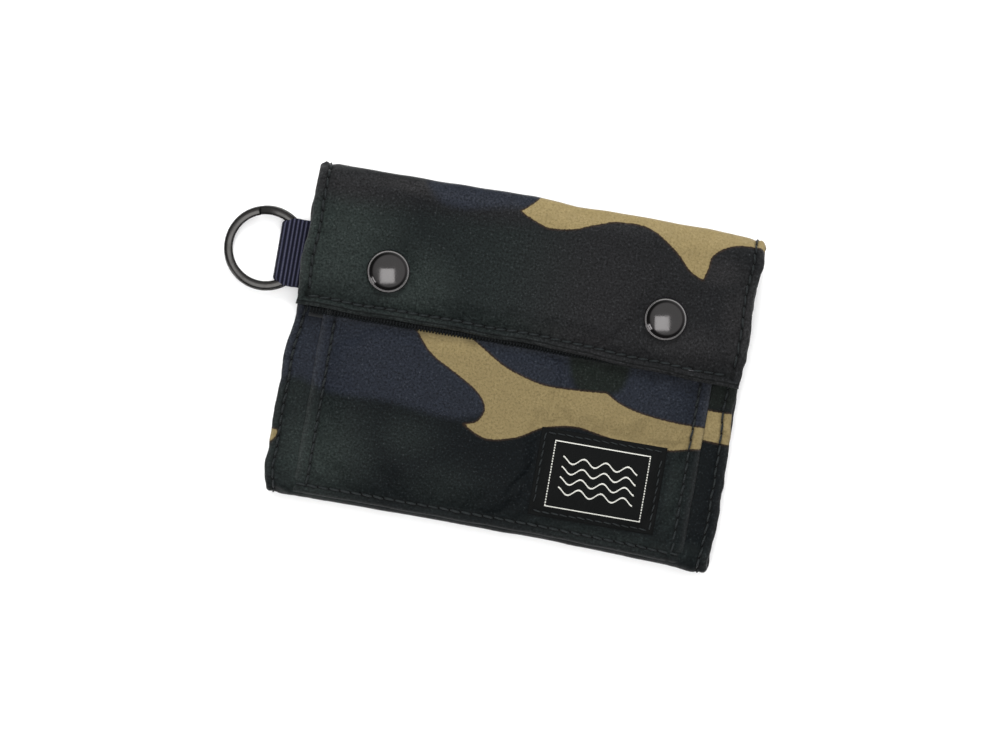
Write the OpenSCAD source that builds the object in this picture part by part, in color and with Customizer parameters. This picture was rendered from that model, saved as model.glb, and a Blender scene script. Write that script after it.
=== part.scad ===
// Trifold wallet: a back panel, a front panel folded up from the bottom and a
// snap flap folded down from the top, with a zipped coin pocket and a key ring.
// Frame: origin at the centre of the outer back face, +X right,
// +Y towards the top fold, +Z out of the front. Millimetres.

/* [Wallet] */
// closed width, left to right
body_w = 121; // [112:1:132]
// closed height, fold to fold
body_h = 90; // [86:1:98]
// thickness of the outer cloth
shell_t = 0.9; // [0.7:0.1:1.1]
// thickness of each lining and slot cloth
cloth_t = 0.4; // [0.3:0.1:0.4]
// room for one card or a folded note
card_gap = 0.8; // [0.7:0.1:0.8]
// width of the sewn margin round a pocket
seam_w = 3; // [2:0.5:4]

/* [Flap] */
// height of the flap's free edge above the middle, left side
flap_edge_left = 6.8; // [6:0.2:9]
// height of the flap's free edge above the middle, right side
flap_edge_right = 4.6; // [4:0.2:6]
// distance of each snap from the middle
snap_x = 37.7; // [30:0.5:42]
// height of the snaps above the middle
snap_y = 19.2; // [16:0.2:22]
// diameter of the snap caps
cap_d = 11.5; // [10:0.5:12.5]
// how far the caps stand off the cloth
cap_h = 2; // [1.4:0.2:2]

/* [Coin pocket] */
// width of the coin pocket
pocket_w = 106.4; // [98:1:108]
// height of the zipper above the middle
zip_y = 6.9; // [6.5:0.1:7.3]
// height of the pocket's bottom edge below the middle
pocket_drop = 41; // [38:0.5:42]
// width of the woven label
label_w = 34.5; // [20:0.5:36]
// height of the woven label
label_h = 25.5; // [16:0.5:28]

/* [Key ring] */
// outside diameter of the split ring
ring_d = 22.8; // [22:0.2:24]
// radial width of the ring wire
ring_wire = 2.3; // [1.8:0.1:2.4]
// thickness of the two ring coils together
ring_t = 2.6; // [2:0.1:2.8]
// width of the webbing loop at the wallet
loop_w = 18.6; // [17:0.2:20]

/* [Hidden] */
$fn = 64;
half_w = body_w / 2;
half_h = body_h / 2;
fold_y = half_h - shell_t;      // inner face of both spines

// levels of the back panel
z_core = shell_t;
z_bill = z_core + cloth_t;
z_inner = z_bill + card_gap;
z_slot_a = z_inner + cloth_t + card_gap;
z_slot_b = z_slot_a + cloth_t + card_gap;
back_top = z_slot_b + cloth_t;

// levels of the front panel
body_gap = 0.3;
z_front = back_top + body_gap;
z_front_lining = z_front + cloth_t + card_gap;
z_front_core = z_front_lining + cloth_t;
z_front_shell = z_front_core + cloth_t;
front_top = z_front_shell + shell_t;

// levels of the zipper
plate_t = 0.5;
z_slider = front_top + 0.2;
z_tape = z_slider + plate_t + 0.3;
z_coil = z_tape + cloth_t;
coil_t = 1.2;
z_slider_top = z_coil + coil_t + 0.2;
z_pull = z_slider_top + plate_t + 0.1;
pull_t = 0.5;
z_bridge = z_pull + pull_t + 0.1;
bridge_t = 0.4;
slider_top = z_bridge + bridge_t;

// levels of the flap
z_flap = slider_top + body_gap;
z_flap_core = z_flap + cloth_t;
z_flap_shell = z_flap_core + cloth_t;
flap_top = z_flap_shell + shell_t;

// front panel and pocket
front_edge = 30;
pocket_z = z_tape + cloth_t;
pocket_top = pocket_z + shell_t;
label_x = 27.2;
label_y = -26.7;
label_t = 0.4;

// card slots and note compartment
inset = 2;                      // linings and interlinings inside the outer cloth
inner_x = half_w - inset;
inner_y = fold_y - 1.5;
note_top = 40;
slot_w = 94;
slot_low = -41;
slot_top_a = 22;
slot_top_b = 8;
front_slot_low = -38;
front_slot_top = 16;

// zipper
zip_len = pocket_w - 2;
coil_w = 1.6;
coil_split = 0.8;
tape_w = 8;
pocket_edge = zip_y - coil_split / 2 - coil_w - 0.8;
slider_x = 46;
slider_l = 8;
slider_w = 4.8;
eye_x = slider_x - 1.8;
pull_l = 11;
pull_w = 4;
pull_rest = -6;                 // angle of the parked pull
leg_d = 1.3;

// snaps
socket_d = 10.4;
socket_drop = 2.6;
stud_d = 4.2;
stud_bore = 5.6;
post_d = 3.4;
backing_t = 0.6;

// ring and loop
ring_x = -71.6;
ring_y = 20;
ring_r = ring_d / 2;
ring_mid = ring_r - ring_wire / 2;
ring_z = 2.8;
ring_tilt = 3.2;
ring_cut_top = 108;             // where each end of the wire is
ring_cut_low = 80;
web_t = 0.8;
loop_root_x = -60.8;
tail_x0 = -59.8;                // clear of the ring inside the loop
tail_x1 = -49;
loop_fold_x = -68.2;
loop_z0 = 0.3;
loop_z1 = 5.1;
loop_fold_w = 15.2;

e = 0.01;

// a flat layer between two corners, from z upwards
module layer(x0, x1, y0, y1, z, t) {
    translate([x0, y0, z]) cube([x1 - x0, y1 - y0, t]);
}

// a sewn margin on the left, right and bottom of a pocket
module u_seam(w, y0, y1, z, t) {
    difference() {
        layer(-w / 2, w / 2, y0, y1, z, t);
        layer(-w / 2 + seam_w, w / 2 - seam_w, y0 + seam_w, y1 + e, z - e, t + 2 * e);
    }
}

module at_snaps() {
    for (side = [-1, 1]) translate([side * snap_x, snap_y, 0]) children();
}

// outline of the flap, pulled in by inset on its three free sides
module flap_outline(inset, top) {
    polygon([
        [-half_w + inset, flap_edge_left + inset],
        [half_w * 0.5, flap_edge_left + inset],
        [half_w - inset, flap_edge_right + inset],
        [half_w - inset, top],
        [-half_w + inset, top]
    ]);
}

// ---- back panel ----
module back_shell() {
    color([0.13, 0.13, 0.15]) layer(-half_w, half_w, -fold_y + 0.1, fold_y - 0.1, 0, shell_t);
}

module back_interlining() {
    color([0.10, 0.10, 0.11])
        layer(-inner_x, inner_x, -inner_y, inner_y, z_core, cloth_t);
}

module bill_pocket_seam() {
    color([0.08, 0.08, 0.09]) u_seam(2 * inner_x, -inner_y, note_top, z_bill, card_gap);
}

module inner_panel() {
    color([0.11, 0.11, 0.12])
        layer(-inner_x, inner_x, -inner_y, note_top, z_inner, cloth_t);
}

module card_slot_upper() {
    color([0.12, 0.12, 0.13]) layer(-slot_w / 2, slot_w / 2, slot_low, slot_top_a, z_slot_a, cloth_t);
}

module card_slot_lower() {
    color([0.12, 0.12, 0.13]) layer(-slot_w / 2, slot_w / 2, slot_low, slot_top_b, z_slot_b, cloth_t);
}

module card_slot_seams() {
    color([0.08, 0.08, 0.09]) {
        u_seam(slot_w, slot_low, slot_top_a, z_inner + cloth_t, card_gap);
        u_seam(slot_w, slot_low, slot_top_b, z_slot_a + cloth_t, card_gap);
    }
}

module webbing_tail() {
    color([0.09, 0.10, 0.16])
        layer(tail_x0, tail_x1, ring_y - loop_w / 2, ring_y + loop_w / 2, z_inner + cloth_t, 2 * web_t);
}

// ---- top spine ----
module top_spine_shell() {
    color([0.30, 0.28, 0.22])
        layer(-half_w, half_w, fold_y, half_h, shell_t + 0.1, z_flap_shell - shell_t - 0.3);
}

module top_spine_lining() {
    color([0.08, 0.08, 0.09])
        layer(-inner_x, inner_x, fold_y - cloth_t, fold_y, z_bill + 0.3, z_flap - z_bill - 1.2);
}

// ---- flap ----
module flap_layer(inset, top, z, t, hole_d) {
    difference() {
        translate([0, 0, z]) linear_extrude(t) flap_outline(inset, top);
        at_snaps() translate([0, 0, z - e]) cylinder(d = hole_d, h = t + 2 * e);
    }
}

module flap_shell() {
    color([0.42, 0.39, 0.28]) flap_layer(0, fold_y - 0.2, z_flap_shell, shell_t, post_d + 0.1);
}

module flap_interlining() {
    color([0.10, 0.10, 0.11]) flap_layer(inset, fold_y - 1.2, z_flap_core, cloth_t, post_d + 0.1);
}

module flap_lining() {
    color([0.08, 0.08, 0.09]) flap_layer(1, fold_y - 1.2, z_flap, cloth_t, post_d + 0.1);
}

// domed cap with a rolled rim, and the post that goes through the flap
module snap_caps() {
    color([0.30, 0.30, 0.32]) at_snaps() {
        rotate_extrude() difference() {
            union() {
                translate([0, flap_top]) square([cap_d / 2 - 0.6, cap_h * 0.5]);
                translate([cap_d / 2 - 0.6, flap_top + 0.6]) circle(r = 0.6, $fn = 24);
                translate([0, flap_top]) square([cap_d / 2 - 0.6, 0.6]);
                intersection() {
                    translate([0, flap_top + cap_h - 14]) circle(r = 14, $fn = 96);
                    translate([0, flap_top + 0.4]) square([cap_d / 2 - 0.7, cap_h]);
                }
            }
            translate([-20, -20]) square([20, 80]);
        }
        translate([0, 0, z_flap + e]) cylinder(d = post_d, h = flap_top - z_flap);
    }
}

module snap_sockets() {
    color([0.26, 0.26, 0.28]) at_snaps() rotate_extrude()
        polygon([
            [stud_bore / 2, z_flap], [stud_bore / 2, z_flap - socket_drop],
            [socket_d / 2 - 0.8, z_flap - socket_drop], [socket_d / 2, z_flap - socket_drop + 0.8],
            [socket_d / 2, z_flap]
        ]);
}

// ---- bottom spine ----
module bottom_spine_shell() {
    color([0.13, 0.14, 0.14])
        layer(-half_w, half_w, -half_h, -fold_y, shell_t + 0.1, z_front_shell - shell_t - 0.6);
}

module bottom_spine_lining() {
    color([0.08, 0.08, 0.09])
        layer(-inner_x, inner_x, -fold_y, -fold_y + cloth_t, z_bill + 0.3, z_front - z_bill - 0.6);
}

// ---- front panel ----
module front_shell() {
    color([0.16, 0.17, 0.15]) difference() {
        layer(-half_w, half_w, -fold_y + 0.5, front_edge, z_front_shell, shell_t);
        at_snaps() translate([0, 0, z_front_shell - e]) cylinder(d = post_d + 0.1, h = shell_t + 2 * e);
    }
}

module front_interlining() {
    color([0.10, 0.10, 0.11]) difference() {
        layer(-inner_x, inner_x, -inner_y, front_edge - inset, z_front_core, cloth_t);
        at_snaps() translate([0, 0, z_front_core - e]) cylinder(d = post_d + 0.1, h = cloth_t + 2 * e);
    }
}

module front_lining() {
    color([0.11, 0.11, 0.12])
        layer(-half_w + 1, half_w - 1, -inner_y, front_edge - 1, z_front_lining, cloth_t);
}

module front_card_slot() {
    color([0.12, 0.12, 0.13])
        layer(-slot_w / 2, slot_w / 2, front_slot_low, front_slot_top, z_front, cloth_t);
}

module front_slot_seam() {
    color([0.08, 0.08, 0.09]) u_seam(slot_w, front_slot_low, front_slot_top, z_front + cloth_t, card_gap);
}

module stud_backing() {
    color([0.09, 0.09, 0.10]) difference() {
        layer(-52, 52, snap_y - 7, snap_y + 7, front_top, backing_t);
        at_snaps() translate([0, 0, front_top - e]) cylinder(d = post_d + 0.1, h = backing_t + 2 * e);
    }
}

// stud with its flange, and the post that holds it
module snap_studs() {
    z = front_top + backing_t;
    color([0.30, 0.30, 0.32]) at_snaps() {
        cylinder_from(z_front_core, z, post_d);
        cylinder_from(z, z + 0.7, socket_d - 0.2);
        cylinder_from(z + 0.7, z + 2.2, stud_d - 0.8);
        cylinder_from(z + 2.2, z + 3.2, stud_d);
    }
}

module cylinder_from(z0, z1, d) {
    translate([0, 0, z0]) cylinder(d = d, h = z1 - z0);
}

module coin_pocket_front() {
    color([0.20, 0.22, 0.25])
        layer(-pocket_w / 2, pocket_w / 2, -pocket_drop, pocket_edge, pocket_z, shell_t);
}

module coin_pocket_seam() {
    color([0.08, 0.08, 0.09])
        u_seam(pocket_w, -pocket_drop, zip_y - tape_w / 2 - 1, front_top, pocket_z - front_top);
}

module woven_label() {
    color([0.05, 0.05, 0.06])
        layer(label_x - label_w / 2, label_x + label_w / 2,
              label_y - label_h / 2, label_y + label_h / 2, pocket_top, label_t);
}

// ---- zipper ----
module tape(side) {
    near = zip_y + side * (coil_split / 2 + 0.1);
    far = zip_y + side * tape_w / 2;
    layer(-zip_len / 2, zip_len / 2, min(near, far), max(near, far), z_tape, cloth_t);
}

module coil(side) {
    near = zip_y + side * coil_split / 2;
    far = near + side * coil_w;
    layer(-zip_len / 2 + 1, zip_len / 2 - 1, min(near, far), max(near, far), z_coil, coil_t);
}

module zipper_tape_upper() {
    color([0.04, 0.04, 0.05]) {
        tape(1);
        layer(-zip_len / 2, zip_len / 2, zip_y + tape_w / 2 - 1, zip_y + tape_w / 2,
              front_top, z_tape - front_top);
    }
}

module zipper_tape_lower() {
    color([0.04, 0.04, 0.05]) tape(-1);
}

module zipper_coil_upper() {
    color([0.05, 0.05, 0.06]) coil(1);
}

module zipper_coil_lower() {
    color([0.05, 0.05, 0.06]) coil(-1);
}

module zipper_stops() {
    color([0.25, 0.25, 0.27]) for (side = [-1, 1])
        translate([side * (zip_len / 2 - 0.5) - 0.45, zip_y - 1.8, z_coil]) cube([0.9, 3.6, 1]);
}

// two plates joined by a thin wedge that runs between the coils, and a bridge
module zipper_slider() {
    x0 = slider_x - slider_l / 2;
    y0 = zip_y - slider_w / 2;
    color([0.20, 0.20, 0.22]) {
        translate([x0, y0, z_slider]) cube([slider_l, slider_w, plate_t]);
        translate([x0, y0, z_slider_top]) cube([slider_l, slider_w, plate_t]);
        translate([slider_x + 1, zip_y - 0.2, z_slider]) cube([3, 0.4, z_slider_top - z_slider + e]);
        for (x = [eye_x, slider_x + 3])
            translate([x, zip_y, z_slider_top]) cylinder(d = leg_d, h = slider_top - z_slider_top);
        translate([eye_x, zip_y - leg_d / 2, z_bridge]) cube([slider_x + 3 - eye_x, leg_d, bridge_t]);
    }
}

module zipper_pull() {
    color([0.10, 0.10, 0.11]) translate([eye_x, zip_y, z_pull]) rotate([0, 0, pull_rest])
        linear_extrude(pull_t) difference() {
            union() {
                circle(d = pull_w);
                translate([-pull_l, -pull_w / 2]) square([pull_l, pull_w]);
            }
            circle(d = leg_d + 0.7);
            translate([-pull_l + 1.4, -0.8]) square([3.6, 1.6]);
        }
}

// ---- key ring ----
module webbing_loop() {
    w = loop_w / 2;
    f = loop_fold_w / 2;
    color([0.09, 0.10, 0.16]) difference() {
        translate([0, ring_y, loop_z0]) linear_extrude(loop_z1 - loop_z0) polygon([
            [loop_root_x, -w], [loop_root_x, w], [loop_fold_x + 1, f],
            [loop_fold_x, f], [loop_fold_x, -f], [loop_fold_x + 1, -f]
        ]);
        layer(loop_fold_x + web_t, loop_root_x + 1, ring_y - 15, ring_y + 15,
              loop_z0 + web_t, loop_z1 - loop_z0 - 2 * web_t);
    }
}

// two flat coils, each open by a small notch
module split_ring() {
    color([0.22, 0.22, 0.24])
        translate([ring_x + ring_mid, ring_y, ring_z]) rotate([0, -ring_tilt, 0])
        translate([-ring_mid, 0, 0]) difference() {
            rotate_extrude() translate([ring_mid, 0])
                square([ring_wire, ring_t], center = true);
            rotate([0, 0, ring_cut_top]) translate([ring_mid, 0, ring_t / 4 + e])
                cube([ring_wire + 1, 0.6, ring_t / 2 + e], center = true);
            rotate([0, 0, ring_cut_low]) translate([ring_mid, 0, -ring_t / 4 - e])
                cube([ring_wire + 1, 0.6, ring_t / 2 + e], center = true);
        }
}

back_shell();
back_interlining();
bill_pocket_seam();
inner_panel();
card_slot_upper();
card_slot_lower();
card_slot_seams();
webbing_tail();
top_spine_shell();
top_spine_lining();
flap_shell();
flap_interlining();
flap_lining();
snap_caps();
snap_sockets();
bottom_spine_shell();
bottom_spine_lining();
front_shell();
front_interlining();
front_lining();
front_card_slot();
front_slot_seam();
stud_backing();
snap_studs();
coin_pocket_front();
coin_pocket_seam();
woven_label();
zipper_tape_upper();
zipper_tape_lower();
zipper_coil_upper();
zipper_coil_lower();
zipper_stops();
zipper_slider();
zipper_pull();
webbing_loop();
split_ring();
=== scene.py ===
"""Looks of the trifold wallet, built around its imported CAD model. Metres, row frame."""

import math

import bmesh
import bpy
import numpy as np
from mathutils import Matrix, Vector, noise


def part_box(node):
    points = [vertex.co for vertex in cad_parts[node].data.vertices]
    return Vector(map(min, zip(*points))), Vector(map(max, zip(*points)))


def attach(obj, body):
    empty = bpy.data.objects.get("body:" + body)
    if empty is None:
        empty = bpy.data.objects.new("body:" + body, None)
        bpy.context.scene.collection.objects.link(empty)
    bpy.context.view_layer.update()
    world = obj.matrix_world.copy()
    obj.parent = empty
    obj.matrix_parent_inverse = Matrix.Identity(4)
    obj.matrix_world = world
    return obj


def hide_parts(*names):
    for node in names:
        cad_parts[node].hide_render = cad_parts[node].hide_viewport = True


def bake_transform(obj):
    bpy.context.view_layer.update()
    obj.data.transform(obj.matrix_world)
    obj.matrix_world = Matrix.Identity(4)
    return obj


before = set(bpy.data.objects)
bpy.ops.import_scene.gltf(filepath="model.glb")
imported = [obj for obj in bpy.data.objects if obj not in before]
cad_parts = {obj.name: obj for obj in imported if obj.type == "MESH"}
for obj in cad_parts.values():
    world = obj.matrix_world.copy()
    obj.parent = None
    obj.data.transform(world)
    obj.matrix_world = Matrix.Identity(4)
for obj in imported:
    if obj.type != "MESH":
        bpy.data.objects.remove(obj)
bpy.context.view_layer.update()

MM = 0.001
SEED = 7


class Box:
    """The box round a CAD node, in millimetres like every length below."""

    def __init__(self, node):
        self.low, self.high = (np.round(np.array(corner) / MM, 2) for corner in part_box(node))
        self.mid = np.round((self.low + self.high) / 2, 1)


# outer sizes of the closed wallet; the cloth stands a little proud of its CAD solids
HALF_W = Box("back_shell").high[0] + 0.2
HALF_H = Box("top_spine_shell").high[1]
FLAP_Z = Box("flap_shell").high[2] - 0.1
FRONT_Z = Box("front_shell").high[2] + 0.2
FRONT_EDGE = Box("front_shell").high[1]
TOP_RADIUS = 4.5
BOTTOM_RADIUS = 3.9
TOP_MID = FLAP_Z / 2
BOTTOM_MID = FRONT_Z / 2
HEM_LEFT = 6.5
HEM_RIGHT = 4.2
OUTER_T = 1.6
BACK_T = 1.5
THIN_T = 0.45
STITCH_PITCH = 3.0
GRID = 0.6
BACK_GRID = 0.9
PLATE_GRID = 1.6
FAR = 99.0
CAP_RADIUS = 5.75
SNAP_X = Box("snap_caps").high[0] - CAP_RADIUS
SNAP_Y = Box("snap_caps").mid[1]
POCKET_X = Box("coin_pocket_front").high[0]
POCKET_TOP = 5.4
POCKET_LOW = -44.0
LABEL_X, LABEL_Y, _ = Box("woven_label").mid
LOOP_Y = Box("webbing_loop").mid[1]
ZIP_Y = 6.9


# ---------------------------------------------------------------- small maths
def smooth(t):
    t = np.clip(t, 0.0, 1.0)
    return t * t * (3 - 2 * t)


def bell(distance, reach):
    """1 at no distance, falling off smoothly in both directions."""
    return np.exp(-(distance / reach) ** 2)


def ripple(x, y, wavelength, seed):
    """Smooth noise from -1 to 1 over arrays of places, with bumps about wavelength wide."""
    k = 1.0 / wavelength
    flat = [noise.noise(Vector((a * k, b * k, seed * 7.31))) for a, b in zip(x.ravel(), y.ravel())]
    return np.array(flat).reshape(x.shape)


def circle(count, start=0.0, end=2 * math.pi):
    """Cosines and sines of count even steps round a circle, or of an arc with both its ends."""
    whole = abs(end - start) >= 2 * math.pi
    angles = np.linspace(start, end, count + 1)[:-1] if whole else np.linspace(start, end, count)
    return [(math.cos(a), math.sin(a)) for a in angles]


def grid_lines(lo, hi, step, fine_lo=True, fine_hi=True):
    """Places from lo to hi, closer together next to an edge that is rounded over."""
    near = [0.0, 0.08, 0.25, 0.5, 0.8]
    start = [lo + d for d in near] if fine_lo else [lo]
    stop = [hi - d for d in reversed(near)] if fine_hi else [hi]
    count = max(2, int(round((stop[0] - start[-1]) / step)))
    middle = list(np.linspace(start[-1], stop[0], count + 1))[1:-1]
    return np.array(start + middle + stop)


def edge_round(distance, radius):
    """0 at a free edge, rising on a quarter circle to 1 at radius from it."""
    t = np.clip(distance / radius, 0, 1)
    return np.sqrt(np.maximum(0, 1 - (1 - t) ** 2))


class Path:
    """A flat path: straight runs with rounded corners, measured by its length."""

    def __init__(self, corners, radius):
        points = [np.array(corners[0], float)]
        for a, b, c in zip(corners, corners[1:], corners[2:]):
            a, b, c = (np.array(p, float) for p in (a, b, c))
            back = (a - b) / np.linalg.norm(a - b)
            on = (c - b) / np.linalg.norm(c - b)
            centre = b + (back + on) * radius
            for cosine, sine in circle(24, 0, math.pi / 2):
                points.append(centre - on * radius * cosine - back * radius * sine)
        points.append(np.array(corners[-1], float))
        self.points = np.array(points)
        steps = np.linalg.norm(np.diff(self.points, axis=0), axis=1)
        self.lengths = np.concatenate([[0], np.cumsum(steps)])
        self.length = self.lengths[-1]

    def at(self, s):
        return np.stack([np.interp(s, self.lengths, self.points[:, i]) for i in range(2)], -1)

    def out(self, s):
        """Unit vector across the path, to the left of its direction."""
        ahead = self.at(np.minimum(s + 0.05, self.length)) - self.at(np.maximum(s - 0.05, 0))
        ahead /= np.linalg.norm(ahead, axis=-1, keepdims=True)
        return np.stack([-ahead[..., 1], ahead[..., 0]], -1)


def spline(points, steps=10):
    """A smooth open curve through a few points, without the last one."""
    p = np.array([points[0]] + list(points) + [points[-1]], float)
    out = []
    for i in range(1, len(p) - 2):
        for t in np.arange(steps) / steps:
            b = p[i + 1] - p[i - 1]
            c = 2 * p[i - 1] - 5 * p[i] + 4 * p[i + 1] - p[i + 2]
            d = -p[i - 1] + 3 * p[i] - 3 * p[i + 1] + p[i + 2]
            out.append(p[i] + 0.5 * (b * t + c * t * t + d * t ** 3))
    return out


def outline(*runs):
    """A closed outline from smooth runs. Each ends at a sharp corner, where the next one starts."""
    ends = [run[0] for run in runs[1:] + runs[:1]]
    return np.array([point for run, end in zip(runs, ends) for point in spline(run + [end])])


def inside_distance(x, y, shape):
    """Distance to a closed outline, above zero inside it."""
    px, py = x.ravel(), y.ravel()
    best = np.full(px.shape, 1e9)
    inside = np.zeros(px.shape, bool)
    for a, b in zip(shape, np.roll(shape, -1, axis=0)):
        ex, ey = b - a
        t = np.clip(((px - a[0]) * ex + (py - a[1]) * ey) / (ex * ex + ey * ey + 1e-12), 0, 1)
        best = np.minimum(best, np.hypot(px - a[0] - ex * t, py - a[1] - ey * t))
        crosses = (a[1] > py) != (b[1] > py)
        if ey:
            inside ^= crosses & (px < a[0] + ex * (py - a[1]) / ey)
    return np.where(inside, best, -best).reshape(x.shape)


def paint(x, y, shapes):
    """The largest inside distance over several outlines."""
    field = np.full(x.shape, -30.0)
    for shape in shapes:
        field = np.maximum(field, inside_distance(x, y, shape))
    return field


# ---------------------------------------------------------------- materials
class Value:
    """What a shader node gives out. Arithmetic with it adds further nodes."""

    def __init__(self, graph, socket):
        self.graph = graph
        self.socket = socket

    def math(self, kind, other=0.0):
        return self.graph.add("Math", {0: self, 1: other}, operation=kind)

    def __add__(self, other):
        return self.math("ADD", other)

    def __sub__(self, other):
        return self.math("SUBTRACT", other)

    def __mul__(self, other):
        return self.math("MULTIPLY", other)

    def __pow__(self, other):
        return self.math("POWER", other)

    def __lt__(self, other):
        return self.math("LESS_THAN", other)

    def __abs__(self):
        return self.math("ABSOLUTE")

    def most(self, other):
        return self.math("MAXIMUM", other)

    def near(self, place, reach):
        """1 where the value lies within reach of place, 0 elsewhere."""
        return abs(self - place) < reach

    def ramp(self, lo, hi, out_lo=0.0, out_hi=1.0):
        """A smooth step from out_lo at lo to out_hi at hi."""
        inputs = dict(enumerate((self, lo, hi, out_lo, out_hi)))
        return self.graph.add("MapRange", inputs, interpolation_type="SMOOTHSTEP")


class Graph:
    """Short names for the nodes that a material or the sky is made of."""

    def __init__(self, owner, shader="Principled BSDF"):
        owner.use_nodes = True
        self.owner = owner
        self.tree = owner.node_tree
        self.shader = self.tree.nodes[shader]

    def put(self, socket, value):
        if isinstance(value, Value):
            self.tree.links.new(value.socket, socket)
        elif isinstance(value, tuple) and len(value) == 3 and socket.type == "RGBA":
            socket.default_value = (*value, 1)
        else:
            socket.default_value = value

    def add(self, kind, inputs, output=0, **settings):
        made = self.tree.nodes.new("ShaderNode" + kind)
        for key, value in settings.items():
            setattr(made, key, value)
        for key, value in inputs.items():
            self.put(made.inputs[key], value)
        return Value(self, made.outputs[output])

    def mix(self, factor, a, b):
        return self.add("Mix", {0: factor, 6: a, 7: b}, 2, data_type="RGBA")

    def attribute(self, name):
        return self.add("Attribute", {}, "Fac", attribute_name=name)

    def place(self, scale=(1, 1, 1), turn=0.0, flat=True):
        """Millimetre coordinates: the piece's own cloth coordinates, or its place in space."""
        where = self.add("TexCoord", {}, "UV" if flat else "Object")
        size = 1 if flat else 1 / MM
        scale = tuple(s * size for s in scale)
        return self.add("Mapping", {"Vector": where, "Rotation": (0, 0, turn), "Scale": scale})

    def noise(self, where, scale, detail=2.0, rough=0.5):
        inputs = {"Vector": where, "Scale": scale, "Detail": detail, "Roughness": rough}
        return self.add("TexNoise", inputs)

    def bands(self, where, pitch, direction="X", distort=0.0):
        """Stripes that repeat every pitch millimetres."""
        inputs = {"Vector": where, "Scale": math.pi / (10 * pitch), "Distortion": distort}
        return self.add("TexWave", inputs, "Fac", bands_direction=direction, wave_profile="SIN")

    def bump(self, height, strength, distance_mm, after=None):
        inputs = {"Height": height, "Strength": strength, "Distance": distance_mm * MM}
        if after is not None:
            inputs["Normal"] = after
        return self.add("Bump", inputs)

    def finish(self, **inputs):
        for name, value in inputs.items():
            self.put(self.shader.inputs[name.replace("_", " ")], value)
        return self.owner


def new_material(name):
    return Graph(bpy.data.materials.new(name))


def scaled(colour, factor):
    return tuple(min(1, c * factor) for c in colour)


def weave_height(g, pitch, turn):
    """Fine diagonal ribs broken up by crossing threads, as on a twill."""
    where = g.place(turn=turn)
    return g.bands(where, pitch, "X", 0.6) * 0.65 + g.bands(where, pitch * 0.7, "Y", 0.8) * 0.35


def camo_print(g, cloth, grain):
    """Colour of the print: soft dark patches, and khaki shapes with sharp dark rims, with painted shade on
    the khaki of some panels.
    """
    wobble = (g.noise(cloth, 1.4, 3.0) - 0.5) * 0.45
    khaki_field = g.attribute("khaki") + wobble
    green_field = g.attribute("green") + wobble * 3.0
    navy_field = g.attribute("navy") + wobble * 3.0
    blotch = g.noise(cloth, 0.06, 3.0, 0.55)

    # the lighter patch colour: the print's teal tone, and on the flap also painted light on its broad folds
    glow = g.mix(g.attribute("smoke"), (0.0198, 0.0266, 0.0246), (0.0225, 0.0217, 0.0226))
    dark = g.mix(g.attribute("teal"), (0.0022, 0.0037, 0.0047), glow)
    navy = g.mix(navy_field.ramp(-1.6, 1.6), dark, (0.0150, 0.0182, 0.0262))
    green = g.mix(green_field.ramp(-1.2, 1.2), navy, (0.0075, 0.0105, 0.0086))
    rimmed = g.mix(khaki_field.ramp(-0.75, -0.15) * 0.75, green, (0.030, 0.017, 0.010))
    khaki = g.mix(blotch, (0.196, 0.151, 0.068), (0.228, 0.177, 0.085))
    # painted shade: khaki darkened panel by panel, 0.3 on the front and 0.6 on the pocket, where less light
    # falls than on the flap
    khaki = g.mix(g.attribute("painted_shade"), khaki, (0.166, 0.128, 0.060))
    in_khaki = khaki_field.ramp(-0.12, 0.12)

    clouds = g.noise(cloth, 0.30, 3.0, 0.6).ramp(0.30, 0.70, 0.34, 0.0)
    specks = grain.ramp(0.34, 0.62, 0.78, 0.0)
    dulled = clouds.most(specks) * in_khaki.ramp(0.0, 1.0, 1.0, 0.50)
    return g.mix(dulled, g.mix(in_khaki, rimmed, khaki), (0.0, 0.0, 0.0))


def needle_shadow(g):
    """Painted shade at the seams: dark needle holes at every stitch, the groove that they lie in, and the
    hem's crease.
    """
    across = abs(g.attribute("across"))
    turn = (g.attribute("along") * (1 / STITCH_PITCH) + 0.5).math("FRACT")
    from_hole = abs(turn - 0.5) * (STITCH_PITCH * 0.75)
    hole = ((across ** 2 + from_hole ** 2) ** 0.5).ramp(0.22, 0.62, 0.95, 0.0)
    groove = across.ramp(0.10, 0.95, 0.60, 0.0)
    crease = abs(g.attribute("crease")).ramp(0.08, 0.36, 0.75, 0.0)
    return hole.most(groove).most(crease)


def camo_material():
    """Printed nylon twill with grain, rubbed edges and needle holes."""
    g = new_material("camo_twill")
    cloth = g.place()
    grain = g.noise(cloth, 1.6, 4.0, 0.8)
    lifted = g.mix(grain.ramp(0.56, 0.76, 0.0, 0.105), camo_print(g, cloth, grain), (0.36, 0.39, 0.40))
    # wear lightens rubbed edges; on the flap it also carries a painted highlight, a sheen band along the top
    # fold
    worn_and_sheen = g.mix(g.attribute("wear") * grain.ramp(0.3, 0.7, 0.02, 0.09), lifted, (0.26, 0.26, 0.26))
    # painted shade in the needle holes, the stitch grooves and the hem's crease
    stitch_shaded = g.mix(needle_shadow(g), worn_and_sheen, (0.0015, 0.0018, 0.0018))
    fine = g.bump(weave_height(g, 0.34, math.radians(52)), 0.55, 0.06)
    slubs = g.bump(grain, 0.6, 0.14, fine)
    folds = g.bump(g.noise(cloth, 0.22, 3.0, 0.6), 0.45, 0.6, slubs)
    return g.finish(
        Base_Color=stitch_shaded, Roughness=grain.ramp(0.2, 0.8, 0.40, 0.62), Normal=folds,
        Specular_IOR_Level=0.065, Sheen_Weight=0.015, Sheen_Roughness=0.4,
    )


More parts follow.
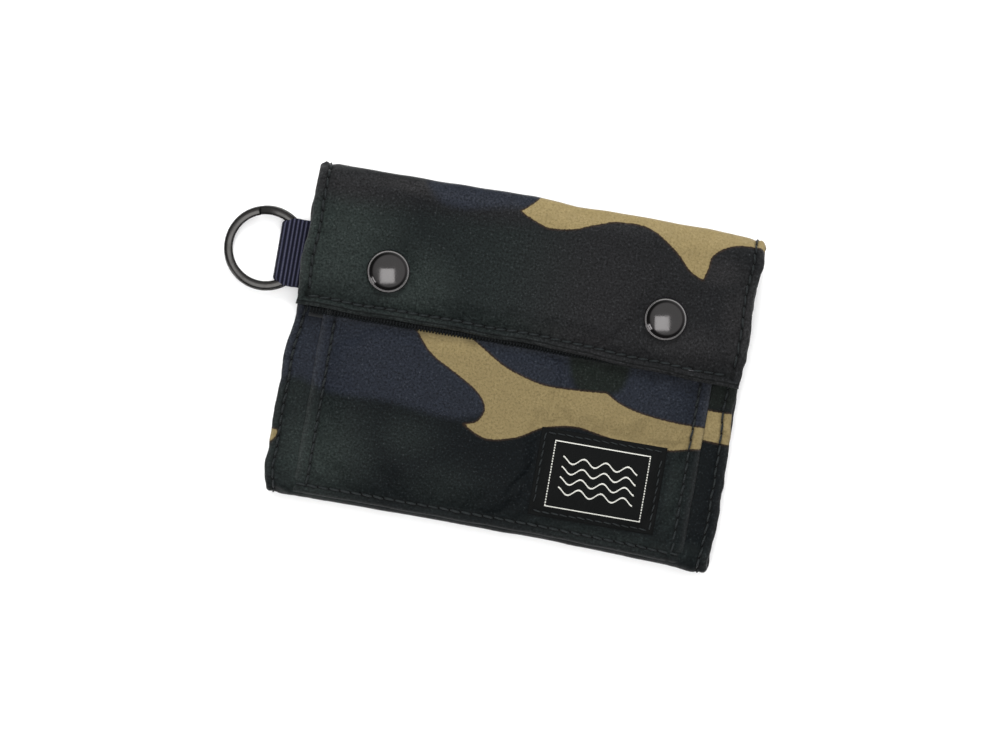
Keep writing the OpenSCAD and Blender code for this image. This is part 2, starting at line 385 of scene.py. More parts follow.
def cloth_material(name, colour, lighter, pitch, turn, rough, sheen):
    """Plain woven cloth with a soft uneven tone."""
    g = new_material(name)
    cloth = g.place()
    grain = g.noise(cloth, 2.4, 4.0, 0.65)
    base = g.mix(g.noise(cloth, 0.09, 2.0).ramp(0.35, 0.7), colour, lighter)
    base = g.mix(grain.ramp(0.3, 0.75, 0.0, 0.35), base, (0.0, 0.0, 0.0))
    base = g.mix(g.attribute("wear") * 0.12, base, (0.20, 0.20, 0.20))
    weave = g.bump(weave_height(g, pitch, math.radians(turn)), 0.6, 0.07)
    folds = g.bump(g.noise(cloth, 0.3, 3.0), 0.3, 0.4, weave)
    return g.finish(
        Base_Color=base, Roughness=rough, Normal=folds, Specular_IOR_Level=0.07,
        Sheen_Weight=sheen, Sheen_Roughness=0.4,
    )


def webbing_material():
    """Navy grosgrain, with a painted highlight on its rib crowns and painted shade, nearly black, between
    them.
    """
    g = new_material("navy_grosgrain")
    cloth = g.place()
    fibres = g.bands(cloth, 0.28, "Y", 1.2)
    fuzz = g.noise(cloth, 3.5, 4.0, 0.7)
    base = g.mix(fibres, (0.005, 0.006, 0.018), (0.015, 0.016, 0.042))
    # painted highlight on the rib crowns
    base = g.mix(g.attribute("rib_highlight") * 0.60, base, (0.105, 0.108, 0.152))
    base = g.mix(fuzz.ramp(0.35, 0.75, 0.55, 0.0), base, (0.004, 0.004, 0.010))
    # painted shade between the ribs
    base = g.mix(g.attribute("rib_shade"), base, (0.0025, 0.0025, 0.0055))
    hairs = g.bump(fuzz, 0.5, 0.08, g.bump(fibres, 0.6, 0.08))
    return g.finish(
        Base_Color=base, Roughness=0.66, Normal=hairs, Specular_IOR_Level=0.1,
        Sheen_Weight=0.03, Sheen_Roughness=0.35,
    )


def thread_material(name, colour):
    """Twisted sewing thread."""
    g = new_material(name)
    twist = g.bands(g.place(turn=math.radians(30), flat=False), 0.22, "X")
    return g.finish(
        Base_Color=g.mix(twist, scaled(colour, 0.5), colour), Roughness=0.55,
        Normal=g.bump(twist, 0.6, 0.05), Specular_IOR_Level=0.25, Sheen_Weight=0.04,
    )


def metal_material(name, colour, rough_lo, rough_hi):
    """Plated metal with faint smudges and scratches."""
    g = new_material(name)
    smudge = g.noise(g.place(flat=False), 0.25, 4.0, 0.6)
    scratch = g.noise(g.place(scale=(0.4, 6.0, 1.0), turn=0.6, flat=False), 1.2, 3.0, 0.7)
    return g.finish(
        Base_Color=g.mix(scratch.ramp(0.62, 0.80, 0.0, 0.15), colour, scaled(colour, 2.2)), Metallic=1.0,
        Roughness=smudge.ramp(0.3, 0.7, rough_lo, rough_hi), Normal=g.bump(scratch, 0.12, 0.02),
    )


def plastic_material(name, colour):
    g = new_material(name)
    fine = g.noise(g.place(flat=False), 2.0, 3.0)
    return g.finish(
        Base_Color=g.mix(fine, colour, scaled(colour, 1.8)), Roughness=fine.ramp(0.3, 0.7, 0.35, 0.5),
        Normal=g.bump(fine, 0.2, 0.03), Specular_IOR_Level=0.08,
    )


def label_material():
    """Black woven label: a thin border and a plain ripple motif in pale thread."""
    g = new_material("woven_label")
    cloth = g.place()
    u, v = (g.add("SeparateXYZ", {0: cloth}, axis) for axis in "XY")
    half_w, half_h, line = 12.9, 8.9, 0.15
    ripple_height, ripple_line, ripple_end = 0.9, 0.21, 10.2
    rows = abs(v).near(half_h, line) * (abs(u) < half_w + line)
    dashes = (v * 1.35).math("FRACT") < 0.66
    sides = abs(u).near(half_w, line) * (abs(v) < half_h)
    drawn = rows.most(sides * dashes)
    swing = (u * 1.05).math("SINE") * ripple_height
    for level in (-4.2, -1.4, 1.4, 4.2):
        drawn = drawn.most((v - swing).near(level, ripple_line) * (abs(u) < ripple_end))
    weave = g.bands(cloth, 0.30, "Y") * 0.6 + g.bands(cloth, 0.22, "X") * 0.4
    ground = g.mix(weave, (0.0010, 0.0012, 0.0012), (0.0060, 0.0066, 0.0066))
    pale = g.mix(weave, (0.30, 0.30, 0.27), (0.66, 0.66, 0.61))
    return g.finish(
        Base_Color=g.mix(drawn, ground, pale), Roughness=0.6,
        Normal=g.bump(weave * 0.5 + drawn * 0.8, 0.7, 0.10), Specular_IOR_Level=0.05, Sheen_Weight=0.01,
    )


CAMO = camo_material()
LINING = cloth_material("black_lining", (0.010, 0.010, 0.011), (0.016, 0.016, 0.017), 0.42, 0, 0.6, 0.04)
SLOT = cloth_material("slot_cloth", (0.012, 0.013, 0.014), (0.020, 0.021, 0.022), 0.5, 45, 0.62, 0.04)
TAPE = cloth_material("zipper_tape", (0.004, 0.005, 0.006), (0.008, 0.009, 0.010), 0.55, 30, 0.8, 0.01)
WEBBING = webbing_material()
LABEL = label_material()
THREAD = thread_material("dark_thread", (0.0115, 0.0155, 0.0165))
GREY_THREAD = thread_material("grey_thread", (0.050, 0.052, 0.056))
GUNMETAL = metal_material("gunmetal", (0.056, 0.054, 0.054), 0.08, 0.18)
BLACK_NICKEL = metal_material("black_nickel", (0.034, 0.033, 0.032), 0.14, 0.28)
SLIDER_METAL = metal_material("slider_metal", (0.050, 0.050, 0.053), 0.25, 0.40)
COIL = plastic_material("coil_nylon", (0.005, 0.006, 0.0065))


# ---------------------------------------------------------------- mesh making
def grid_faces(rows, width, round_rows=False, round_width=False):
    """Faces between rows of points, each row width points long, closed into rings where asked."""
    faces = []
    for i in range(rows if round_rows else rows - 1):
        for j in range(width if round_width else width - 1):
            i_next = (i + 1) % rows
            j_next = (j + 1) % width
            faces.append((i * width + j, i_next * width + j, i_next * width + j_next, i * width + j_next))
    return faces


def rod_faces(rows, width):
    """Faces of a row of rings, closed at both ends."""
    last = (rows - 1) * width
    ends = [tuple(range(width))[::-1], tuple(range(last, last + width))]
    return grid_faces(rows, width, round_width=True) + ends


def add_object(name, verts, faces, materials, slots=None):
    mesh = bpy.data.meshes.new(name)
    mesh.from_pydata([tuple(v) for v in np.asarray(verts) * MM], [], faces)
    for material in materials:
        mesh.materials.append(material)
    if slots is not None:
        mesh.polygons.foreach_set("material_index", slots)
    mesh.polygons.foreach_set("use_smooth", [True] * len(faces))
    bm = bmesh.new()
    bm.from_mesh(mesh)
    bmesh.ops.recalc_face_normals(bm, faces=bm.faces[:])
    bm.to_mesh(mesh)
    bm.free()
    made = bpy.data.objects.new(name, mesh)
    bpy.context.collection.objects.link(made)
    return made


def set_cloth_coordinates(obj, uv):
    layer = obj.data.uv_layers.new(name="cloth")
    index = np.zeros(len(obj.data.loops), int)
    obj.data.loops.foreach_get("vertex_index", index)
    layer.data.foreach_set("uv", np.asarray(uv, np.float32)[index].ravel())


def closed_sheet(name, top, bottom, uv, materials, fields):
    """Two grids of points joined round their rim. The last material is for the underside.
    fields are the values, one a grid point, that the materials read."""
    n, m = top.shape[:2]
    under = n * m
    upper_faces = grid_faces(n, m)
    faces = upper_faces + [tuple(under + face[k] for k in (0, 3, 2, 1)) for face in upper_faces]
    rim = [i * m for i in range(n)] + [(n - 1) * m + j for j in range(1, m)]
    rim += [i * m + m - 1 for i in range(n - 2, -1, -1)] + [j for j in range(m - 2, 0, -1)]
    faces += [(b, a, under + a, under + b) for a, b in zip(rim, rim[1:] + rim[:1])]
    slots = [0] * len(upper_faces) + [len(materials) - 1] * len(upper_faces) + [0] * len(rim)
    verts = np.concatenate([top.reshape(-1, 3), bottom.reshape(-1, 3)])
    made = add_object(name, verts, faces, materials, slots)
    made.data.set_sharp_from_angle(angle=math.radians(60))
    set_cloth_coordinates(made, np.tile(uv.reshape(-1, 2), (2, 1)))
    for key, values in fields.items():
        attribute = made.data.attributes.new(key, "FLOAT", "POINT")
        attribute.data.foreach_set("value", np.tile(values.ravel(), 2).astype(np.float32))
    return made


def settle(points, pinned, name, pressure, shrink, cap):
    """Lets a sewn panel relax as cloth between its pinned seams, and returns its new points."""
    scale = 10
    n, m = points.shape[:2]
    sheet = add_object(name + "_sim", points.reshape(-1, 3) * scale, grid_faces(n, m), [])
    group = sheet.vertex_groups.new(name="pin")
    group.add([int(index) for index in np.flatnonzero(pinned)], 1.0, "REPLACE")
    cloth = sheet.modifiers.new("Cloth", "CLOTH").settings
    for key, value in dict(
        quality=4, mass=0.15, tension_stiffness=12, compression_stiffness=12, shear_stiffness=6,
        bending_stiffness=0.3, vertex_group_mass="pin", shrink_min=shrink, shrink_max=shrink,
        use_pressure=True, uniform_pressure_force=pressure,
    ).items():
        setattr(cloth, key, value)
    cloth.effector_weights.gravity = 0
    scene = bpy.context.scene
    for step in range(1, 17):
        scene.frame_set(step)
    relaxed = sheet.evaluated_get(bpy.context.evaluated_depsgraph_get()).to_mesh()
    moved = np.zeros(n * m * 3)
    relaxed.vertices.foreach_get("co", moved)
    scene.frame_set(1)
    bpy.data.objects.remove(sheet)
    shift = moved.reshape(n, m, 3) / MM / scale - points
    length = np.linalg.norm(shift, axis=-1, keepdims=True)
    return points + shift * np.minimum(1, cap / np.maximum(length, 1e-9))


def seam_fields(u, v, lines):
    """Signed distance across the nearest stitch line, and the length along it."""
    across = np.full_like(u, FAR)
    along = np.zeros_like(u)
    for start, end in lines:
        start, end = np.array(start, float), np.array(end, float)
        length = np.linalg.norm(end - start)
        ahead = (end - start) / length
        s = (u - start[0]) * ahead[0] + (v - start[1]) * ahead[1]
        off = (v - start[1]) * ahead[0] - (u - start[0]) * ahead[1]
        off = off + np.where((s < -1) | (s > length + 1), FAR, 0)
        nearer = np.abs(off) < np.abs(across)
        across = np.where(nearer, off, across)
        along = np.where(nearer, s, along)
    return across, along


def stitch_dips(across, along, depth, width=0.5):
    """How far a line of stitches pulls cloth down, deepest at the needle holes."""
    groove = np.exp(-(across / width) ** 2 / 2)
    wide = np.exp(-(across / (width * 2.6)) ** 2 / 2)
    beat = 0.55 + 0.45 * np.cos(2 * math.pi * along / STITCH_PITCH)
    return depth * (0.85 * groove * beat + 0.45 * wide * (0.8 + 0.2 * beat))


def on_grid(points, us, vs, u, v):
    """The point of a grid at cloth coordinates u, v."""
    i = int(np.clip(np.searchsorted(us, u) - 1, 0, len(us) - 2))
    j = int(np.clip(np.searchsorted(vs, v) - 1, 0, len(vs) - 2))
    a = np.clip((u - us[i]) / (us[i + 1] - us[i]), 0, 1)
    b = np.clip((v - vs[j]) / (vs[j + 1] - vs[j]), 0, 1)
    low = points[i, j] * (1 - a) + points[i + 1, j] * a
    high = points[i, j + 1] * (1 - a) + points[i + 1, j + 1] * a
    return low * (1 - b) + high * b


def level_surface(points, us, vs, face=1):
    """Point and outward direction at cloth coordinates, for a piece that faces up or down."""
    def surface(u, v):
        return on_grid(points, us, vs, u, v), np.array([0, 0, float(face)])

    return surface


def tube(path, radii, sides=6, flat=1.0, up=(0, 0, 1)):
    """Rings of points round a path, and their faces, closed at both ends."""
    path = np.asarray(path, float)
    ahead = np.gradient(path, axis=0)
    ahead /= np.linalg.norm(ahead, axis=1, keepdims=True)
    side = np.cross(ahead, np.asarray(up, float))
    side /= np.linalg.norm(side, axis=1, keepdims=True)
    above = np.cross(side, ahead)
    verts = [
        p + s * r * cosine + a * r * flat * sine
        for p, s, a, r in zip(path, side, above, radii) for cosine, sine in circle(sides)
    ]
    return verts, rod_faces(len(path), sides)


class Heap:
    """Collects many small solids into one mesh."""

    def __init__(self):
        self.verts = []
        self.faces = []

    def add(self, verts, faces):
        start = len(self.verts)
        self.verts += list(verts)
        self.faces += [tuple(start + i for i in face) for face in faces]

    def make(self, name, material):
        return add_object(name, self.verts, self.faces, [material])


def stitched(name, surface, lines, thread=THREAD, lift=0.16, radius=0.25, pitch=STITCH_PITCH):
    """The threads of some stitch lines. surface gives the cloth's point and outward direction."""
    heap = Heap()
    rng = np.random.default_rng(SEED)
    for start, end in lines:
        start, end = np.array(start, float), np.array(end, float)
        length = np.linalg.norm(end - start)
        along = (end - start) / length
        side = np.array([-along[1], along[0]])
        for k in range(int(length / pitch)):
            slant = 0.18 + rng.uniform(-0.10, 0.10)
            shift = rng.uniform(-0.06, 0.06)
            thick = radius * rng.uniform(0.85, 1.1)
            path = []
            for t in np.linspace(0.08, 0.92, 6):
                flat = start + along * (k + t) * pitch + side * (slant * (0.5 - t) * 2 + shift)
                point, out = surface(*flat)
                bow = 1 - (2 * t - 1) ** 4
                path.append(point + out * (lift * bow - 0.30 * (1 - bow)))
            heap.add(*tube(path, thick * np.array([0.6, 0.95, 1, 1, 0.95, 0.6]), up=out))
    return heap.make(name, thread)


# ---------------------------------------------------------------- camouflage shapes
# flap and front coordinates: x across, y up the closed wallet; past a fold they run on round it
KHAKI_TOP = outline(
    [(-0.3, 47.8), (-1.7, 44.2)],
    [(-5.3, 40.6), (-1.2, 38.8), (3, 37.9), (8.5, 38.8), (16.2, 41.8), (23.5, 43.3), (30, 42.3),
     (37.5, 37.4), (42, 33)],
    [(45.7, 31.3), (46.6, 34.5), (47.4, 38.2), (53, 41.9)],
    [(64, 43.6), (72, 56), (60, 64), (47, 60), (37, 67), (24, 62), (11, 54)],
)
KHAKI_POCKET = outline(
    [(-27.4, 5), (-22.6, -0.4), (-14.8, -4.8), (-8.6, -8.6), (-5.9, -12.6), (-7.4, -16.4)],
    [(-10.8, -17.7), (-4.4, -20.4), (3.6, -18.7), (10.4, -15), (19, -13.3), (28.8, -14.7), (42.3, -15.5),
     (51, -13.9)],
    [(57, -13)],
    [(57, -7.8), (47, -7.9), (37.5, -7.2), (30.5, -5.6)],
    [(25.4, -3.1), (17, -3.8), (8, -3.8), (-1, -1.4), (-7.1, 1.8)],
    [(-12, 5), (-14, 9), (-29, 9)],
)
KHAKI_STRIP = outline([(50, -2.6), (57, -3.1)], [(70, -2.2)], [(70, -11.4), (58, -11.2)], [(50, -10.8)])
KHAKI_CORNER = outline([(-66, -27.6)], [(-59, -27.8), (-59.9, -30.6)], [(-66, -36)])
GREEN_BLOB = outline([(13, 12), (15, 1), (19, -3.4), (26, -3.2), (30, 0), (30, 12), (20, 16)])
GREEN_STRIP = outline([(50, 8), (64, 8), (66, 0), (60, -1.6), (50, -1.4)])
NAVY_FLAP = outline([(-30, 54), (-31, 44), (-24, 39), (-10, 41), (-1, 43), (4, 50), (-10, 56)])
NAVY_LEFT = outline(
    [(-66, 12), (-30, 12), (-5, 8), (-4, -6), (-5, -13), (-14, -16.6), (-32, -15), (-47, -15.4),
     (-58, -13), (-66, -20)],
)
NAVY_MIDDLE = outline([(-12, 10), (15, 10), (17, -1), (14, -4.4), (-4, -3)])
NAVY_RIGHT = outline([(29, 10), (58, 10), (58, -10), (36, -9), (27, -4)])

# soft lighter patches: centre, reach and weight. On the flap they are partly the print's teal tone and
# partly painted light on its broad folds.
FLAP_TEAL_AND_LIGHT = [
    (-52, 24, 20, 20, 1.15), (-30, 16, 16, 14, 1.0), (-34, 43, 28, 4, 0.7), (14, 22, 60, 40, 0.6),
    (44, 14, 20, 9, 0.75), (10, 11, 34, 4, 0.85), (50, 34, 12, 6, 0.85), (57, 22, 7, 16, 0.85),
]
TEAL_FRONT = [
    (-48, -32, 14, 14, 1.0), (-56, -20, 8, 14, 0.45), (-26, -24, 10, 7, 0.45), (-14, -36, 12, 8, 0.4),
    (34, -41, 26, 3, 0.5), (48, -26, 4, 14, 0.55),
]
TEAL_BACK = [(-30, 20, 30, 20, 0.6), (36, -24, 26, 18, 0.7), (10, 34, 20, 12, 0.5), (0, 0, 80, 60, 0.3)]

# the back and the folds, in their own run: x across, y as on the flat back
KHAKI_BACK = [
    outline([(-70, 30), (-52, 33)], [(-38, 24), (-46, 19), (-55, 22)], [(-70, 15)]),
    outline(
        [(-20, -8), (-8, 4), (9, 8), (24, 3)],
        [(38, 10), (35, -1), (22, -8), (8, -6)],
        [(-4, -15), (-9, -11)],
    ),
    outline([(-44, -38), (-34, -27), (-14, -23)], [(2, -28), (-12, -33), (-20, -38)]),
]
GREEN_BACK = [
    outline([(-60, 4), (-40, 10), (-28, -4), (-36, -22), (-58, -20)]),
    outline([(14, -20), (36, -14), (56, -24), (50, -44), (20, -42)]),
]
NAVY_BACK = [
    outline([(-30, 43), (-26, 26), (0, 18), (16, 26), (9, 42), (-10, 45)]),
    outline([(-70, -20), (-46, -23), (-36, -38), (-70, -40)]),
    outline([(40, 20), (70, 22), (70, -16), (46, -8)]),
]


def patch_field(x, y, patches):
    """Soft lighter patches, 0 away from all of them."""
    field = np.zeros_like(x)
    for px, py, rx, ry, weight in patches:
        field = np.maximum(field, weight * np.exp(-((x - px) / rx) ** 2 - ((y - py) / ry) ** 2))
    return field


def camo_fields(x, y, khaki, green, navy, wear, teal, painted_shade=0.0):
    """The values that the camouflage material colours by: distances into shapes, soft patches, and a weight
    of painted shade on the khaki.
    """
    return {
        "khaki": paint(x, y, khaki), "green": paint(x, y, green), "navy": paint(x, y, navy),
        "wear": wear, "teal": teal, "painted_shade": np.full_like(x, painted_shade), "smoke": np.zeros_like(x),
        "across": np.full_like(x, FAR), "along": np.zeros_like(x), "crease": np.full_like(x, FAR),
    }


# ---------------------------------------------------------------- main cloth panels
# how far each fold strays from its straight line: places across, and shifts
TOP_STRAY = ([-61, -58, -25, -3, 9, 45, 57, 60, 61], [-0.6, 0.3, 0.5, 0.8, -0.1, 0.3, -0.3, -1.0, -1.8])
LOW_STRAY = ([-61, -58, -20, 15, 40, 57, 60, 61], [0.3, 0.5, 0.5, 0.3, -0.6, -1.2, -0.9, -0.3])


def fold_stray(x, y):
    """The shift up or down of a point near a fold."""
    top = np.interp(x, *TOP_STRAY) * smooth((y - 26) / 18)
    return top + np.interp(x, *LOW_STRAY) * smooth((-y - 26) / 18)


def hem_y(x):
    """Height of the flap's free edge: level on the left, dropping to the right."""
    drop = (HEM_RIGHT - HEM_LEFT) * smooth((x + 5) / 60)
    return HEM_LEFT + drop + 0.12 * np.sin(x / 5.3) + 0.1 * np.sin(x / 2.9 + 1)


class Panel:
    """A run of the outer cloth along a path, with its seams, wrinkles and edges."""

    def __init__(self, name, path, thickness, free_end, outside, step=GRID):
        self.name = name
        self.path = path
        self.length = path.length
        self.thickness = thickness
        self.us = grid_lines(-HALF_W, HALF_W, step)
        self.vs = grid_lines(0, path.length, step, False, free_end)
        self.u, self.v = np.meshgrid(self.us, self.vs, indexing="ij")
        yz = path.at(self.v)
        out = outside * path.out(self.v)
        self.points = np.stack([self.u, yz[..., 0], yz[..., 1]], -1)
        self.points[..., 1] += fold_stray(self.u, yz[..., 0])
        self.out = np.stack([np.zeros_like(self.u), out[..., 0], out[..., 1]], -1)
        self.side = HALF_W - np.abs(self.u)
        self.to_end = self.length - self.v
        self.from_edge = np.minimum(self.side, self.to_end) if free_end else self.side
        self.wear = np.exp(-self.from_edge / 0.7)
        self.relief = np.zeros_like(self.u)

    def push(self, amount):
        """Moves the cloth outwards. Its underside follows only part of the way."""
        self.points += self.out * amount[..., None]
        self.relief += amount

    def pucker(self, distance, seed, size, reach=4.0, wavelength=4.2):
        """Small waves across a seam that die out away from it."""
        waves = ripple(self.u, self.v, wavelength, seed)
        waves += 0.5 * ripple(self.u, self.v, wavelength * 0.5, seed + 2)
        self.push(size * waves * np.exp(-distance / reach))

    def waver(self, seed):
        """Edges that wander a little, as sewn cloth edges do. Panels that meet share a seed."""
        rise = self.points[..., 1] + self.points[..., 2]
        wander = 1.6 * ripple(self.u * 0.1, rise, 9, seed) + 0.7 * ripple(self.u * 0.1, rise, 3.2, seed + 1)
        self.points[..., 0] += np.sign(self.u) * np.exp(-self.side / 6) * 0.42 * wander

    def seam(self, lines, depth=0.5):
        """Pulls the panel down along stitch lines given in its own coordinates."""
        self.lines = lines
        self.across, self.along = seam_fields(self.u, self.v, lines)
        self.push(-stitch_dips(self.across, self.along, depth))

    def build(self, y, fields):
        half = self.thickness / 2
        rounding = edge_round(self.from_edge, 0.8)[..., None] * half
        middle = self.points - self.out * half
        calm = 0.6 * np.clip(self.relief, -0.6, 0.6) * smooth(self.from_edge / 2.5)
        self.top = middle + self.out * rounding
        self.bottom = middle - self.out * (rounding + calm[..., None])
        fields.update(across=self.across, along=self.along)
        uv = np.stack([self.u, y], -1)
        self.mesh = closed_sheet(self.name, self.top, self.bottom, uv, [CAMO, LINING], fields)

    def surface(self, u, v, face=1):
        """Point and outward direction at cloth coordinates. Face -1 is the lining."""
        out = on_grid(self.out, self.us, self.vs, u, v)
        point = on_grid(self.top if face > 0 else self.bottom, self.us, self.vs, u, v)
        return point, face * out / np.linalg.norm(out)

    def underside(self, u, v):
        return self.surface(u, v, -1)


def hem_lines(left, right, end):
    """Stitch lines up both sides of a panel and along its free end."""
    return [((left, 0), (left, end)), ((right, 0), (right, end)), ((left, end), (right, end))]


# flap: from the middle of the top fold, over it, and down to the hem
flap_path = Path([(HALF_H, TOP_MID), (HALF_H, FLAP_Z), (HEM_LEFT, FLAP_Z)], TOP_RADIUS)
flap = Panel("flap_cloth", flap_path, OUTER_T, True, -1)
flap_y = HEM_LEFT + flap.to_end
flap.points[..., 1] += (hem_y(flap.u) - HEM_LEFT) * smooth(1 - flap.to_end / 16)
flap.push(-1.5 * smooth(1 - (flap.to_end - 1.0) / 7.5))
flap_middle = smooth(flap.to_end / 9) * smooth(flap.side / 9) * smooth((flap_y - 4) / 9)
flap.push(flap_middle * (0.60 * ripple(flap.u, flap_y, 26, 3) + 0.14 * ripple(flap.u, flap_y, 8, 5)))
flap.points[..., 0] -= 0.4 * bell(flap_y - 4, 6) * smooth((flap.u - 48) / 12)
flap.pucker(flap.from_edge, 11, 0.80)
flap.pucker(np.abs(flap.from_edge - 1.4), 12, 0.70, 1.3, 2.4)
flap.push(0.40 * bell(flap.from_edge - 1.3, 1.1))
flap.pucker(np.abs(flap_y - (HALF_H - TOP_RADIUS)), 17, 0.25, 6.0, 9.0)
flap_pins = (flap.from_edge < 3.2) | (flap.v < 5)
for side in (-1, 1):
    from_snap = np.hypot(flap.u - side * SNAP_X, flap_y - SNAP_Y)
    flap.push(-0.5 * np.exp(-(from_snap / 6.4) ** 4))
    flap_pins |= from_snap < 6
flap.points = settle(flap.points, flap_pins, "flap", 1.2, -0.012, 0.8)
flap.seam(hem_lines(-HALF_W + 2.8, HALF_W - 2.5, flap.length - 2.7))
flap.waver(5)
# the band at y 42 added to the wear is a painted highlight: the sheen along the top fold, not wear
flap_camo = camo_fields(
    flap.u, flap_y, [KHAKI_TOP], [], [NAVY_FLAP],
    flap.wear + 0.25 * bell(flap_y - 42, 2.5), patch_field(flap.u, flap_y, FLAP_TEAL_AND_LIGHT),
)
flap_camo["crease"] = flap.to_end - 1.0
flap_camo["smoke"] = np.maximum(smooth((flap.u + 14) / 34), smooth((flap_y - 33) / 7))
flap.build(flap_y, flap_camo)

# back, in two halves: from the middle of the back to the middle of the top or the bottom fold
upper_path = Path([(0, 0), (HALF_H, 0), (HALF_H, TOP_MID)], TOP_RADIUS)
lower_path = Path([(0, 0), (-HALF_H, 0), (-HALF_H, BOTTOM_MID)], BOTTOM_RADIUS)
upper = Panel("back_cloth_upper", upper_path, BACK_T, False, -1, BACK_GRID)
lower = Panel("back_cloth_lower", lower_path, BACK_T, False, 1, BACK_GRID)
for panel, sign, seed, near, khaki_over, navy_over in (
    (upper, 1, 5, FLAP_TEAL_AND_LIGHT, [KHAKI_TOP], [NAVY_FLAP]), (lower, -1, 13, TEAL_FRONT, [], []),
):
    back_y = sign * panel.v
    over_y = 2 * sign * panel.length - back_y
    at_fold = smooth((panel.v - 34) / 14)
    panel.push(-0.35 * np.exp(-panel.side / 1.2))
    panel.seam([((x, 0), (x, panel.length)) for x in (2.6 - HALF_W, HALF_W - 2.6)], 0.3)
    panel.points[..., 2] = np.maximum(panel.points[..., 2], 0.0)
    panel.waver(seed)
    teal = (1 - at_fold) * patch_field(panel.u, back_y, TEAL_BACK)
    teal += at_fold * patch_field(panel.u, over_y, near)
    camo = camo_fields(panel.u, back_y, KHAKI_BACK, GREEN_BACK, NAVY_BACK, panel.wear, teal)
    camo["khaki"] = np.maximum(camo["khaki"], paint(panel.u, over_y, khaki_over))
    camo["navy"] = np.maximum(camo["navy"], paint(panel.u, over_y, navy_over))
    camo["smoke"] = at_fold * (sign > 0)
    panel.build(back_y, camo)

# front: from the middle of the bottom fold, over it, and up to its top edge under the flap
front_path = Path([(-HALF_H, BOTTOM_MID), (-HALF_H, FRONT_Z), (FRONT_EDGE, FRONT_Z)], BOTTOM_RADIUS)
front = Panel("front_cloth", front_path, OUTER_T, True, 1)
front_y = FRONT_EDGE - front.to_end
front.pucker(front.side, 23, 0.55, 5.0)
front.pucker(np.abs(front.side - 1.2), 25, 0.65, 1.3, 2.6)
front.push(0.30 * ripple(front.u, front.v, 9, 33) * smooth((-30 - front_y) / 8))
for side, bulge in ((-1, 0.5), (1, 1.2)):
    corner = bell(front.u - side * 56, 5.5) * bell(front_y + 42, 5.0)
    front.push(corner * (bulge + 0.95 * ripple(front.u, front.v, 2.8, 27)))
left_swell = smooth((2 - front_y) / 10) * smooth((front_y + 44) / 6)
right_waist = 0.7 * bell(front_y - 2, 9) + 0.4 * bell(front_y + 42, 5)
front.points[..., 0] -= 1.1 * left_swell * smooth((-48 - front.u) / 12)
front.points[..., 0] -= right_waist * smooth((front.u - 48) / 12)
front.seam(hem_lines(-HALF_W + 2.2, HALF_W - 2.6, front.length - 3))
front.waver(13)
# the front's khaki gets painted shade, weight 0.3
front_camo = camo_fields(
    front.u, front_y, [KHAKI_STRIP, KHAKI_CORNER], [GREEN_STRIP], [NAVY_LEFT],
    front.wear, patch_field(front.u, front_y, TEAL_FRONT), 0.3,
)
front.build(front_y, front_camo)


# ---------------------------------------------------------------- flat pieces
def base_z(y):
    """Level of the front cloth's surface, which rolls over at the bottom fold."""
    below = np.clip((-HALF_H + BOTTOM_RADIUS) - y, 0, BOTTOM_RADIUS)
    return FRONT_Z - BOTTOM_RADIUS + np.sqrt(BOTTOM_RADIUS ** 2 - below ** 2)


def flat_panel(x0, x1, y0, y1, step=GRID):
    """The cloth coordinates of a rectangular piece: its lines, its grid, and the way to its sides."""
    us = grid_lines(x0, x1, step)
    vs = grid_lines(y0, y1, step)
    u, v = np.meshgrid(us, vs, indexing="ij")
    low_sides = np.minimum(np.minimum(u - x0, x1 - u), v - y0)
    return us, vs, u, v, low_sides, np.minimum(low_sides, y1 - v)


def raised(points, height):
    """The points of a level grid moved up by height."""
    return np.concatenate([points[..., :2], (points[..., 2] + height)[..., None]], -1)


# coin pocket, sewn on the front along its sides and its lower edge
pocket_us, pocket_vs, pu, pv, _, pocket_edge = flat_panel(-POCKET_X, POCKET_X, POCKET_LOW, POCKET_TOP)
left_seam, right_seam, low_seam = -POCKET_X + 3.4, POCKET_X - 3.1, -41.6
from_seams = np.minimum(np.minimum(pu - left_seam, right_seam - pu), pv - low_seam)
from_side_seam = np.minimum(np.abs(pu - left_seam), np.abs(pu - right_seam))
from_label = np.abs(np.maximum(np.abs(pu - LABEL_X) - 17.2, np.abs(pv - LABEL_Y) - 12))
pocket_z = base_z(pv) + 0.75 + 1.25 * smooth(from_seams / 9) + 0.35 * smooth((pu - right_seam) / 2)
pocket_z += 1.25 * smooth(1 - (POCKET_TOP - pv) / 6) * (1 - smooth(from_seams / 9))
for size, wavelength, seed, fade in (
    (0.60, 22, 31, smooth(from_seams / 8)), (0.22, 9, 35, smooth(from_seams / 4)),
    (0.62, 4.2, 37, np.exp(-np.abs(pv - low_seam) / 3.5)), (0.40, 3.6, 41, np.exp(-from_side_seam / 3)),
    (0.20, 4.0, 43, np.exp(-from_label / 2.5)),
):
    pocket_z += size * ripple(pu, pv, wavelength, seed) * fade
pocket_pins = (from_seams < 0.8) | (POCKET_TOP - pv < 1.2) | (from_label < 0.8)
pocket_points = settle(np.stack([pu, pv, pocket_z], -1), pocket_pins, "pocket", 1.5, -0.015, 1.0)
pocket_lines = [((x, low_seam), (x, POCKET_TOP - 1)) for x in (left_seam, right_seam)]
pocket_lines.append(((-POCKET_X + 0.5, low_seam), (POCKET_X - 0.5, low_seam)))
pocket_across, pocket_along = seam_fields(pu, pv, pocket_lines)
pocket_points[..., 2] -= stitch_dips(pocket_across, pocket_along, 0.6)
pocket_points[..., 2] = np.maximum(pocket_points[..., 2], base_z(pv) + 0.30)
pocket_points[..., 1] += np.interp(pu, *LOW_STRAY) * smooth((-pv - 26) / 18)
